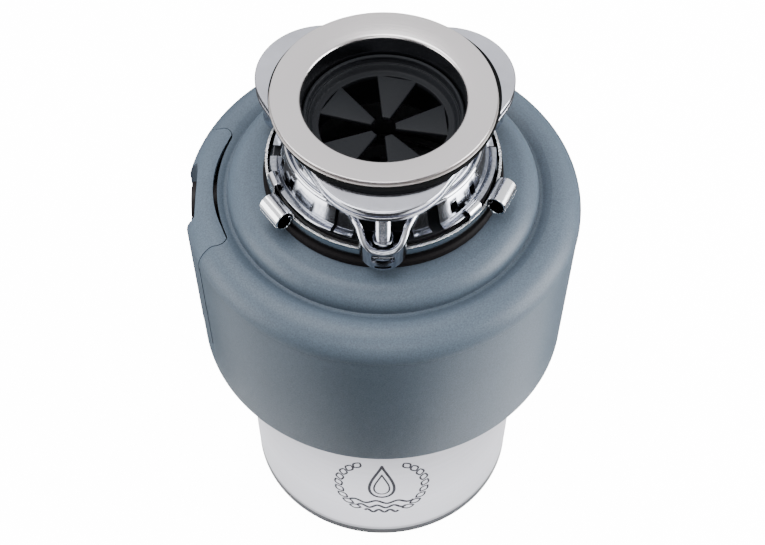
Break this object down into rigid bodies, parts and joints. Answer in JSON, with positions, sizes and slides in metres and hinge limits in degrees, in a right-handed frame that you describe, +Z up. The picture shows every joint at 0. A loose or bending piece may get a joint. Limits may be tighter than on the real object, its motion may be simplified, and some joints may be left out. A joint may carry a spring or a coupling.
{
  "type": "kitchen garbage disposal",
  "caption": "Under-sink food waste disposer: sink flange and quick-lock mount, rounded plastic shell, grinding chamber with swivel impellers, motor in a steel can.",
  "frame": {"origin": "on the motor axis, in the plane that the base stands on", "axes": "+Z up along the motor axis, -Y towards the front with the emblem, -X towards the discharge outlet and the dishwasher inlet"},
  "size_m": [0.2109, 0.2116, 0.312],
  "materials": {
    "stainless": "brushed and polished stainless steel",
    "chrome": "bright chrome plating",
    "zinc": "zinc plate with a rough stamped edge",
    "fibre": "pale fibre washer",
    "black_rubber": "matt black rubber",
    "guard_rubber": "satin black rubber",
    "shell": "grey-blue plastic with a fine moulded grain",
    "shell_trim": "grey-blue plastic with a fine moulded grain",
    "black_plastic": "moulded black plastic",
    "can": "brushed stainless steel",
    "cast_metal": "die-cast aluminium",
    "end_frame": "dark painted casting",
    "steel": "turned or stamped steel",
    "laminations": "stacked steel laminations",
    "copper": "varnished copper windings",
    "bronze": "sintered bronze",
    "foam": "dark acoustic foam",
    "red_button": "red moulded plastic"
  },
  "bodies": {
    "housing": {"sink_flange": "stainless", "friction_ring": "fibre", "sink_gasket": "black_rubber", "backup_flange": "chrome", "upper_mounting_ring": "chrome", "mounting_screws": "chrome", "tube_snap_ring": "steel", "cushion_gasket": "black_rubber", "splash_guard": "guard_rubber", "grind_chamber": "steel", "chamber_screws": "steel", "chamber_gasket": "black_rubber", "shredder_ring": "steel", "upper_end_bell": "cast_metal", "shaft_seal": "black_rubber", "upper_bearing": "bronze", "lower_bearing": "bronze", "stator_core": "laminations", "stator_windings": "copper", "motor_can": "can", "lower_end_frame": "end_frame", "through_bolts": "steel", "start_relay": "black_plastic", "overload_protector": "black_plastic", "terminal_cover": "end_frame", "terminal_screws": "steel", "top_cover": "shell", "side_shell": "shell", "trim_panel": "shell_trim", "sound_insulation": "foam", "dishwasher_inlet": "black_plastic", "inlet_knockout": "black_plastic", "discharge_gasket": "black_rubber", "discharge_flange": "steel", "discharge_screws": "steel"},
    "rotor": {"motor_shaft": "steel", "rotor_core": "laminations", "rotor_cage": "cast_metal", "turntable": "steel", "impeller_pins": "steel", "shaft_nut": "steel", "thrust_washer": "steel"},
    "impeller_1": {"impeller_1": "steel"},
    "impeller_2": {"impeller_2": "steel"},
    "lower_ring": {"lower_mounting_ring": "zinc"},
    "reset_button": {"reset_button": "red_button"}
  },
  "joints": [
    {"name": "turntable_spin", "type": "hinge", "parent": "housing", "child": "rotor", "pos_m": [0, 0, 0.1], "axis": [0, 0, 1], "continuous": true},
    {"name": "impeller_1_swivel", "type": "hinge", "parent": "rotor", "child": "impeller_1", "pos_m": [0.042, 0, 0.186], "axis": [0, 0, 1], "continuous": true},
    {"name": "impeller_2_swivel", "type": "hinge", "parent": "rotor", "child": "impeller_2", "pos_m": [-0.042, 0, 0.186], "axis": [0, 0, 1], "continuous": true},
    {"name": "lower_ring_lock", "type": "hinge", "parent": "housing", "child": "lower_ring", "pos_m": [0, 0, 0.2582], "axis": [0, 0, 1], "range_deg": [-28, 0]},
    {"name": "reset_button_travel", "type": "slide", "parent": "housing", "child": "reset_button", "axis": [0, 0, -1], "range_m": [0, 0.003]}
  ]
}
